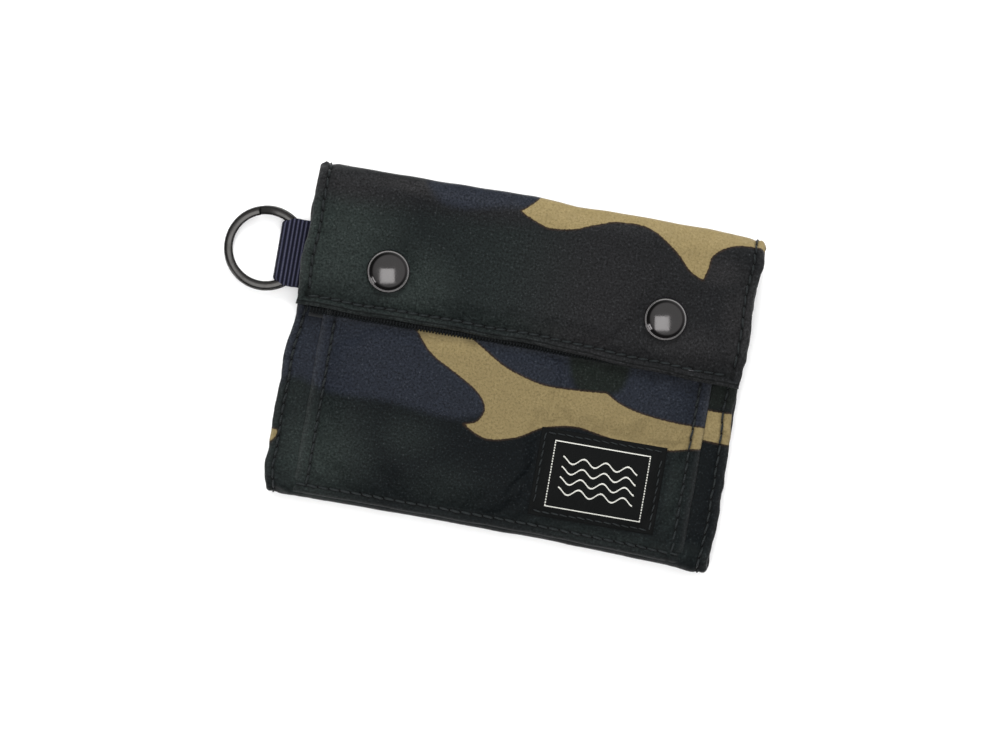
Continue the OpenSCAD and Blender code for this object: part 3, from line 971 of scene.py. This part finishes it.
pocket_points[..., 0] += 0.22 * ripple(pu * 0.1, pv, 6, 47) * smooth((np.abs(pu) - 48) / 5)
pocket_points[..., 1] += 0.25 * ripple(pu, pv * 0.1, 8, 53) * smooth((low_seam + 1 - pv) / 2)
pocket_half = 0.55
pocket_swell = pocket_half * edge_round(pocket_edge, 0.7)
pocket_top = raised(pocket_points, pocket_swell - pocket_half)
# the pocket's khaki gets painted shade, weight 0.6
pocket_camo = camo_fields(
    pu, pv, [KHAKI_POCKET], [GREEN_BLOB], [NAVY_LEFT, NAVY_MIDDLE, NAVY_RIGHT],
    np.exp(-pocket_edge / 0.7), patch_field(pu, pv, TEAL_FRONT), 0.6,
)
pocket_camo.update(across=pocket_across, along=pocket_along)
pocket = closed_sheet(
    "pocket_cloth", pocket_top, raised(pocket_points, -pocket_swell - pocket_half),
    np.stack([pu, pv], -1), [CAMO, LINING], pocket_camo,
)

def soft_plate(name, node, z, material, sag=0.0, seed=0, face=1, thickness=THIN_T, grow=(0, 0, 0, 0)):
    """A thin piece of cloth over a CAD node's outline that dips to its seams on three sides,
    and the surface that faces up or down. grow widens it to the left, right, front and back."""
    box = Box(node)
    left, right, near, far = grow
    us, vs, u, v, inner, edge = flat_panel(
        box.low[0] - left, box.high[0] + right, box.low[1] - near, box.high[1] + far, PLATE_GRID)
    level = z + thickness / 2 - sag * (1 - smooth((inner - 3) / 5))
    level = level + 0.12 * ripple(u, v, 12, seed + 61) * smooth(inner / 6)
    half = thickness / 2 * edge_round(edge, 0.4)
    top = np.stack([u, v, level + half], -1)
    bottom = np.stack([u, v, level - half], -1)
    wear = {"wear": np.exp(-edge / 0.6)}
    made = closed_sheet(name, top, bottom, np.stack([u, v], -1), [material], wear)
    return made, level_surface(top if face > 0 else bottom, us, vs, face)


inner_panel, _ = soft_plate("note_divider", "inner_panel", 2.05, LINING, seed=1)
slot_upper, slot_upper_at = soft_plate("card_slot_upper_cloth", "card_slot_upper", 3.3, SLOT, 0.5, 2)
slot_lower, slot_lower_at = soft_plate("card_slot_lower_cloth", "card_slot_lower", 4.45, SLOT, 0.5, 3)
front_slot, front_slot_at = soft_plate("front_card_slot_cloth", "front_card_slot", 5.25, SLOT, -0.5, 4, -1)
stud_strip, _ = soft_plate("stud_strip", "stud_backing", 8.15, WEBBING, seed=5, thickness=0.65)
tail, tail_at = soft_plate(
    "webbing_tail_cloth", "webbing_tail", 2.5, WEBBING, seed=6, thickness=1.5, grow=(0.4, 0, 0, 0))
tape_upper, _ = soft_plate(
    "zipper_tape_upper_cloth", "zipper_tape_upper", 9.1, TAPE, seed=7, thickness=0.4, grow=(4.8, 0, 0.1, 0))
tape_lower, _ = soft_plate(
    "zipper_tape_lower_cloth", "zipper_tape_lower", 9.1, TAPE, seed=8, thickness=0.4, grow=(4.8, 0, -1, 0.1))

# woven label, which follows the pocket under it
label_us, label_vs, lu, lv, _, label_edge = flat_panel(-17.1, 17.1, -11.9, 11.9, 0.7)
label_level = np.array([
    on_grid(pocket_top, pocket_us, pocket_vs, LABEL_X + a, LABEL_Y + b)[2]
    for a, b in zip(lu.ravel(), lv.ravel())
]).reshape(lu.shape)
label_level += 0.10 + 0.12 * smooth(label_edge / 3) - 0.12 * bell(label_edge - 1.3, 0.4)
label_points = np.stack([LABEL_X + lu, LABEL_Y + lv, label_level], -1)
label_half = 0.22 * edge_round(label_edge, 0.35)
label_top = raised(label_points, label_half)
label = closed_sheet(
    "woven_label_cloth", label_top, raised(label_points, -label_half), np.stack([lu, lv], -1), [LABEL], {},
)


# ---------------------------------------------------------------- stitching
def slot_lines(node, with_base=True):
    """Seams down both sides of a card slot, along its top edge, and along its base if asked."""
    box = Box(node)
    side, low, top = box.high[0] - 1.6, box.low[1] + 2, box.high[1]
    lines = [((x, low), (x, top - 1)) for x in (-side, side)]
    lines.append(((box.low[0] + 1, top - 2), (box.high[0] - 1, top - 2)))
    if with_base:
        lines.append(((-side, low - 0.4), (side, low - 0.4)))
    return lines


flap_stitches = stitched("flap_stitches", flap.surface, flap.lines)
flap_stitches_inside = stitched("flap_stitches_inside", flap.underside, flap.lines, GREY_THREAD)
front_stitches = stitched("front_stitches", front.surface, front.lines)
front_stitches_inside = stitched("front_stitches_inside", front.underside, front.lines, GREY_THREAD)
upper_stitches = stitched("back_stitches_upper", upper.surface, upper.lines, lift=-0.06)
lower_stitches = stitched("back_stitches_lower", lower.surface, lower.lines, lift=-0.06)
pocket_stitches = stitched("pocket_stitches", level_surface(pocket_top, pocket_us, pocket_vs), pocket_lines)
label_corners = [(a * 15.9, b * 10.7) for a, b in ((-1, -1), (1, -1), (1, 1), (-1, 1))]
label_stitches = stitched(
    "label_stitches", level_surface(label_top, label_us, label_vs),
    list(zip(label_corners, label_corners[1:] + label_corners[:1])), radius=0.18, pitch=2.4,
)
slot_stitches = [
    stitched("slot_stitches_upper", slot_upper_at, slot_lines("card_slot_upper", False), GREY_THREAD),
    stitched("slot_stitches_lower", slot_lower_at, slot_lines("card_slot_lower"), GREY_THREAD),
]
front_slot_stitches = stitched(
    "slot_stitches_front", front_slot_at, slot_lines("front_card_slot"), GREY_THREAD)
tail_corners = [(-58, LOOP_Y - 7), (-50.5, LOOP_Y - 7), (-50.5, LOOP_Y + 7), (-58, LOOP_Y + 7)]
tail_stitches = stitched(
    "tail_stitches", tail_at, list(zip(tail_corners, tail_corners[1:])), GREY_THREAD, pitch=2.0)


# ---------------------------------------------------------------- snaps
def cap_profile():
    """Radii and heights of a cap: a rolled rim, a fine groove, and a shallow dome."""
    base, rim, height, dome = -0.3, 0.30, 2.0, 14.0
    rim_middle = CAP_RADIUS - rim
    points = [(0.01, base), (rim_middle, base)]
    for cosine, sine in circle(14, math.radians(-90), math.radians(120)):
        points.append((rim_middle + rim * cosine, 0.35 + rim * sine))
    points.append((5.16, 0.62))
    for r in np.linspace(5.02, 0.01, 20):
        groove = 0.35 * smooth((r - 4.3) / 0.75)
        points.append((r, height - dome + math.sqrt(dome ** 2 - r ** 2) - groove))
    return points


def turned_cap(name, x, segments=96):
    """A cap turned round an upright axis on the flap."""
    profile = cap_profile()
    verts = [
        (x + r * cosine, SNAP_Y + r * sine, FLAP_Z + 0.1 + z)
        for cosine, sine in circle(segments) for r, z in profile
    ]
    return add_object(name, verts, grid_faces(segments, len(profile), round_rows=True), [GUNMETAL])


caps = [turned_cap("snap_cap_left", -SNAP_X), turned_cap("snap_cap_right", SNAP_X)]


# ---------------------------------------------------------------- key ring and its loop
def split_ring():
    """Flattened wire wound twice round, with both ends cut, tilted about its place in the loop."""
    wire, height, middle = 2.3, 2.6, 10.25
    start, turns, shift = math.radians(103), 1.985, math.radians(26)
    rings, sides, roundness = 260, 28, 0.75
    pivot = (-61.35, LOOP_Y, 2.8)
    tilt_cos, tilt_sin = math.cos(math.radians(3.2)), math.sin(math.radians(3.2))
    profile = [
        [half * math.copysign(abs(share) ** roundness, share)
         for half, share in zip((wire / 2, height / 4 - 0.02), direction)]
        for direction in circle(sides)
    ]
    verts = []
    for turn in np.linspace(0, turns * 2 * math.pi, rings):
        rise = smooth((turn - (math.pi * turns - shift)) / (2 * shift))
        for r, z in profile:
            reach = middle + r - 0.12 * (2 * rise - 1)
            x = reach * math.cos(start - turn) - middle
            level = (rise - 0.5) * height / 2 + z
            verts.append((
                pivot[0] + x * tilt_cos - level * tilt_sin,
                pivot[1] + reach * math.sin(start - turn),
                pivot[2] + x * tilt_sin + level * tilt_cos,
            ))
    return add_object("split_ring_wire", verts, rod_faces(rings, sides), [BLACK_NICKEL])


ring = split_ring()


def loop_strap():
    """Ribbed webbing folded round the ring wire."""
    stitch_shaded, tip, low, high = -59.8, -68.0, 0.65, 4.75
    rib_pitch, rib_height, half = 1.1, 0.20, 0.42
    path = Path([(stitch_shaded, high), (tip, high), (tip, low), (stitch_shaded, low)], 1.9)
    vs = np.linspace(0, path.length, int(path.length / 0.11))
    us = grid_lines(-1, 1, 0.1)
    us = np.sign(us) * np.abs(us) ** 0.9
    u, v = np.meshgrid(us, vs, indexing="ij")
    xz = path.at(v)
    out = path.out(v)
    half_width = 8.1 + 1.1 * smooth((xz[..., 0] + 67.8) / 3)
    wave = np.cos(2 * math.pi * (v + 0.15) / rib_pitch)
    edge = (1 - np.abs(u)) * half_width
    rounding = edge_round(edge, 0.5)
    wander = 0.12 * ripple(v, u * 0, 1.6, 71) * np.sign(u) * (np.abs(u) > 0.9)

    def layer(offset):
        x = xz[..., 0] - out[..., 0] * offset
        z = xz[..., 1] - out[..., 1] * offset
        return np.stack([x, LOOP_Y + u * half_width + wander, z], -1)

    fields = {
        # painted highlight on the rib crowns and painted shade between them
        "rib_shade": smooth((0.1 - wave) / 0.9), "rib_highlight": smooth((wave - 0.35) / 0.5),
        "wear": np.exp(-edge / 0.5),
    }
    outer = layer(-(half + rib_height * wave) * rounding)
    uv = np.stack([v, u * half_width], -1)
    return closed_sheet("webbing_strap", outer, layer(half * rounding), uv, [WEBBING], fields)


strap = loop_strap()


# ---------------------------------------------------------------- zipper
COIL_PITCH = 0.42
COIL_LOW = 9.5


def coil_teeth(name, side):
    """One side of the coil: a row of rounded nylon loops that reach across the middle."""
    heap = Heap()
    near, far = ZIP_Y - side * 0.25, ZIP_Y + side * 1.95
    middle = (near + far) / 2
    for k in range(int((52 + 58) / COIL_PITCH / 2)):
        x = -57.5 + (k + (0.5 if side > 0 else 0)) * COIL_PITCH * 2
        path = [
            (x - 0.12, far, COIL_LOW + 0.30), (x - 0.10, far - side * 0.1, COIL_LOW + 0.85),
            (x - 0.04, middle, COIL_LOW + 1.12), (x, near + side * 0.1, COIL_LOW + 0.95),
            (x + 0.04, near, COIL_LOW + 0.62), (x + 0.10, middle, COIL_LOW + 0.35),
        ]
        heap.add(*tube(path, [0.20, 0.24, 0.24, 0.28, 0.26, 0.20], up=(1, 0, 0)))
    return heap.make(name, COIL)


coil_upper = coil_teeth("zipper_teeth_upper", 1)
coil_lower = coil_teeth("zipper_teeth_lower", -1)


def rounded_block(heap, centre, size, radius):
    """A box whose upright corners and rims are rounded."""
    sx, sy, sz = (s / 2 for s in size)
    corners = []
    for quarter, (qx, qy) in enumerate(((1, 1), (-1, 1), (-1, -1), (1, -1))):
        for cosine, sine in circle(6, quarter * math.pi / 2, (quarter + 1) * math.pi / 2):
            corners.append((qx * (sx - radius) + radius * cosine, qy * (sy - radius) + radius * sine))
    rim = min(0.18, sz * 0.6)
    rising = [(-sz, rim), (-sz + rim * 0.3, rim * 0.3), (-sz + rim, 0)]
    levels = rising + [(-z, inset) for z, inset in reversed(rising)]
    verts = [
        (centre[0] + x * (sx - inset) / sx, centre[1] + y * (sy - inset) / sy, centre[2] + z)
        for z, inset in levels for x, y in corners
    ]
    heap.add(verts, rod_faces(len(levels), len(corners)))


slider_x = Box("zipper_slider").mid[0]
slider_heap = Heap()
rounded_block(slider_heap, (slider_x, ZIP_Y, 8.55), (8, 4.8, 0.5), 1.5)
rounded_block(slider_heap, (slider_x, ZIP_Y, 11.15), (8, 4.8, 0.5), 1.5)
rounded_block(slider_heap, (slider_x + 2.5, ZIP_Y, 9.85), (3, 0.4, 2.7), 0.15)
bridge = [(-1.8, 11.3), (-1.75, 12.0), (-1.3, 12.3), (0.6, 12.35), (2.5, 12.3), (2.95, 12.0), (3.0, 11.3)]
slider_heap.add(*tube(
    [(slider_x + x, ZIP_Y, z) for x, z in bridge], [0.55, 0.5, 0.42, 0.42, 0.42, 0.5, 0.55],
    sides=10, flat=0.8, up=(0, 1, 0),
))
slider = slider_heap.make("zipper_slider_body", SLIDER_METAL)


def pull_tab():
    """Flat tab with an eye for the bridge and a slot near its end."""
    made = bpy.data.objects.new("zipper_pull_tab", bpy.data.meshes.new("zipper_pull_tab"))
    bm = bmesh.new()
    turn_cos, turn_sin = math.cos(math.radians(-6)), math.sin(math.radians(-6))
    half_turn = (math.pi / 2, -math.pi / 2)
    outer = [(2.0 * cosine, 2.0 * sine) for cosine, sine in circle(17, *half_turn)]
    outer += [(-9.4, -2.0), (-10.6, -1.5), (-11.0, -0.6), (-11.0, 0.6), (-10.6, 1.5), (-9.4, 2.0)]
    slot = [(-6.8 + 0.8 * cosine, 0.8 * sine) for cosine, sine in circle(9, *half_turn)]
    slot += [(-8.8 - 0.8 * cosine, -0.8 * sine) for cosine, sine in circle(9, *half_turn)]
    edges = []
    for ring_points in (outer, circle(24), slot):
        verts = []
        for x, y in ring_points:
            place = (slider_x - 1.8 + x * turn_cos - y * turn_sin, ZIP_Y + x * turn_sin + y * turn_cos, 11.5)
            verts.append(bm.verts.new(Vector(place) * MM))
        edges += [bm.edges.new(pair) for pair in zip(verts, verts[1:] + verts[:1])]
    bmesh.ops.triangle_fill(bm, use_beauty=True, edges=edges)
    extruded = bmesh.ops.extrude_face_region(bm, geom=bm.faces[:])
    lifted = [v for v in extruded["geom"] if isinstance(v, bmesh.types.BMVert)]
    bmesh.ops.translate(bm, verts=lifted, vec=(0, 0, 0.5 * MM))
    bmesh.ops.recalc_face_normals(bm, faces=bm.faces[:])
    bm.to_mesh(made.data)
    bm.free()
    made.data.materials.append(SLIDER_METAL)
    bpy.context.collection.objects.link(made)
    bevel = made.modifiers.new("Bevel", "BEVEL")
    bevel.width = 0.12 * MM
    bevel.segments = 2
    bevel.limit_method = "ANGLE"
    return made


pull = pull_tab()


# ---------------------------------------------------------------- riding and replacing
for piece in (flap.mesh, flap_stitches, flap_stitches_inside):
    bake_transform(piece)
for piece in (upper.mesh, upper_stitches):
    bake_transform(piece)
for piece in (lower.mesh, lower_stitches):
    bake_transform(piece)
for piece in (front.mesh, front_stitches, front_stitches_inside):
    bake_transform(piece)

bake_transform(strap)

RIDES = {
    "back": [inner_panel, slot_upper, slot_lower, *slot_stitches, tail, tail_stitches],
    "front": [front_slot, front_slot_stitches, stud_strip, tape_upper, tape_lower, pocket, label,
              pocket_stitches, label_stitches, coil_upper, coil_lower],
    "flap": caps,
    "ring": [ring],
    "slider": [slider],
    "pull": [pull],
}
for body, pieces in RIDES.items():
    for piece in pieces:
        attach(piece, body)

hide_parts("flap_shell", "flap_interlining", "flap_lining")
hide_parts("back_shell", "back_interlining", "top_spine_shell", "top_spine_lining")
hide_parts("bottom_spine_shell", "bottom_spine_lining")
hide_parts("front_shell", "front_interlining", "front_lining")
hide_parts("inner_panel", "bill_pocket_seam")
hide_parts("card_slot_upper", "card_slot_seams")
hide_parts("card_slot_lower")
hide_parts("front_card_slot", "front_slot_seam")
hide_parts("stud_backing")
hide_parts("webbing_tail")
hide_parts("coin_pocket_front", "coin_pocket_seam")
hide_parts("woven_label")
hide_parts("zipper_tape_upper")
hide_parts("zipper_tape_lower")
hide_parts("zipper_coil_upper")
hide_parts("zipper_coil_lower")
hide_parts("snap_caps")
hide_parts("webbing_loop")
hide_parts("split_ring")
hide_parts("zipper_slider")
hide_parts("zipper_pull")

for node, material in (("snap_sockets", GUNMETAL), ("snap_studs", GUNMETAL), ("zipper_stops", COIL)):
    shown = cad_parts[node]
    shown.data.materials.clear()
    shown.data.materials.append(material)


# ---------------------------------------------------------------- floor, light and camera
FLOOR_SIZE = 1500
FLOOR_Z = -0.05


def floor_material():
    g = new_material("pale_floor")
    tone = g.noise(g.place(flat=False), 0.01, 2.0)
    return g.finish(
        Base_Color=g.mix(tone, (0.90, 0.90, 0.90), (0.93, 0.93, 0.93)), Roughness=0.9,
        Emission_Color=(1.0, 1.0, 1.0), Emission_Strength=0.08,
    )


floor_corners = [(a * FLOOR_SIZE, b * FLOOR_SIZE, FLOOR_Z) for a, b in ((-1, -1), (1, -1), (1, 1), (-1, 1))]
floor = add_object("floor", floor_corners, [(0, 1, 2, 3)], [floor_material()])

world = bpy.data.worlds.new("studio")
bpy.context.scene.world = world
sky = Graph(world, "Background")
direction = sky.add("TexCoord", {}, "Generated")
overhead = {0: direction, 1: (0.26, 0.26, 0.93)}
height = sky.add("VectorMath", overhead, "Value", operation="DOT_PRODUCT")
sky.finish(Color=(1, 1, 1), Strength=height.ramp(0.15, 0.85, 0.12, 1.05))


def area_light(name, place, size, radiance, roll=0.0, mirrored=True):
    """A square softbox aimed at the wallet, which shiny pieces mirror or don't."""
    lamp = bpy.data.lights.new(name, "AREA")
    lamp.shape = "SQUARE"
    lamp.size = size
    lamp.energy = radiance * math.pi * size * size
    made = bpy.data.objects.new(name, lamp)
    made.location = place
    made.rotation_euler = (-Vector(place)).to_track_quat("-Z", "Y").to_euler()
    made.rotation_euler.rotate_axis("Z", roll)
    made.visible_glossy = mirrored
    bpy.context.collection.objects.link(made)


area_light("overhead_softbox", (-0.07, -0.19, 1.20), 0.70, 4.6, math.radians(30))
area_light("left_softbox", (-0.95, -0.70, 0.45), 0.42, 7.0)
area_light("window_softbox", (-0.14, 0.99, 0.74), 0.60, 15.0, mirrored=False)

CAMERA_TURN = math.radians(9.8)
CAMERA_HEIGHT = 1.6
VIEW_LEVEL = 0.010
VIEW_WIDTH = 0.2688
SENSOR_WIDTH = 36
camera_data = bpy.data.cameras.new("camera")
camera_data.sensor_width = SENSOR_WIDTH
camera_data.lens = SENSOR_WIDTH * (CAMERA_HEIGHT - VIEW_LEVEL) / VIEW_WIDTH
camera = bpy.data.objects.new("camera", camera_data)
camera.location = (-0.00395, -0.00042, CAMERA_HEIGHT)
camera.rotation_euler = (0, 0, CAMERA_TURN)
bpy.context.collection.objects.link(camera)
bpy.context.scene.camera = camera
bpy.context.scene.view_settings.view_transform = "Standard"
